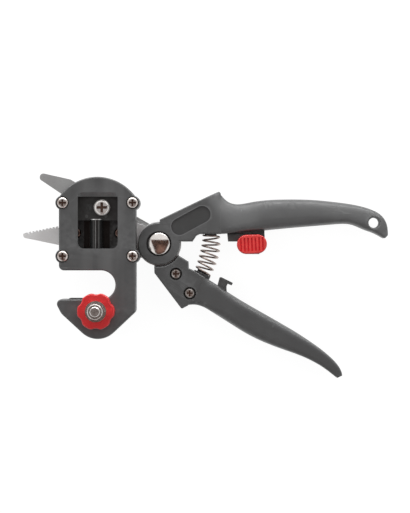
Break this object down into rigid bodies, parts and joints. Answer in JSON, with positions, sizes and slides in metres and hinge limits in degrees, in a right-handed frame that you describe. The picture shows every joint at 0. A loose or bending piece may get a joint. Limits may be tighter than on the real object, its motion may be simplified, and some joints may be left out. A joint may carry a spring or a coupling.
{
  "type": "grafting pruner",
  "caption": "Hand-held grafting pruner: sprung handles drive a lever blade against a serrated jaw and push an omega-shaped grafting blade down onto a clamped anvil in a C-shaped head.",
  "frame": {"origin": "on the axis of the main pivot, in the plane of the back end of the pivot bolt and nut, on which the tool lies", "axes": "+X along the upper handle away from the pivot, +Y towards the top of the grafting head, +Z out of the tool's front, the side with the knob"},
  "size_m": [0.2183, 0.1224, 0.0424],
  "materials": {
    "grey_shell": "satin",
    "blade_steel": "satin",
    "ground_steel": "satin",
    "bright_steel": "polished",
    "warm_steel": "gloss",
    "spring_wire": "gloss",
    "black_plastic": "satin",
    "red_plastic": "satin"
  },
  "bodies": {
    "frame": {"upper_handle": "grey_shell", "counter_blade": "ground_steel", "head_housing": "grey_shell", "head_back_plate": "grey_shell", "head_screws": "bright_steel", "head_nuts": "bright_steel", "head_mount_screws": "warm_steel", "pivot_bolt": "bright_steel", "pivot_nut": "bright_steel", "anvil": "black_plastic", "clamp_bolt": "bright_steel", "clamp_washer": "bright_steel", "clamp_locknut": "bright_steel", "return_spring": "spring_wire"},
    "lower": {"lower_handle": "grey_shell", "cutting_blade": "blade_steel", "tang_screws": "bright_steel", "tang_nuts": "bright_steel", "lock_catch": "black_plastic", "spring_seat": "black_plastic"},
    "carrier": {"blade_carrier": "black_plastic", "grafting_blade": "blade_steel", "blade_pins": "bright_steel", "drive_screw": "bright_steel", "drive_nut": "bright_steel"},
    "lock": {"lock_slider": "black_plastic", "lock_pad": "red_plastic"},
    "knob": {"clamp_knob": "red_plastic"}
  },
  "joints": [
    {"name": "handle_pivot", "type": "hinge", "parent": "frame", "child": "lower", "pos_m": [0, 0, 0.00875], "axis": [0, 0, 1], "range_deg": [0, 24], "stiffness_Nm_per_rad": 0.8, "springref_deg": -20.05, "deforming": ["return_spring"]},
    {"name": "blade_slide", "type": "slide", "parent": "frame", "child": "carrier", "axis": [0, -1, 0], "range_m": [0, 0.0165]},
    {"name": "lock_slide", "type": "slide", "parent": "frame", "child": "lock", "axis": [-1, 0, 0], "range_m": [0, 0.004]},
    {"name": "knob_turn", "type": "hinge", "parent": "frame", "child": "knob", "pos_m": [-0.0365, -0.0398, 0.0306], "axis": [0, 0, 1], "continuous": true}
  ],
  "couplings": [
    {"joint": "blade_slide", "follows": "handle_pivot", "m_per_rad": 0.039}
  ]
}
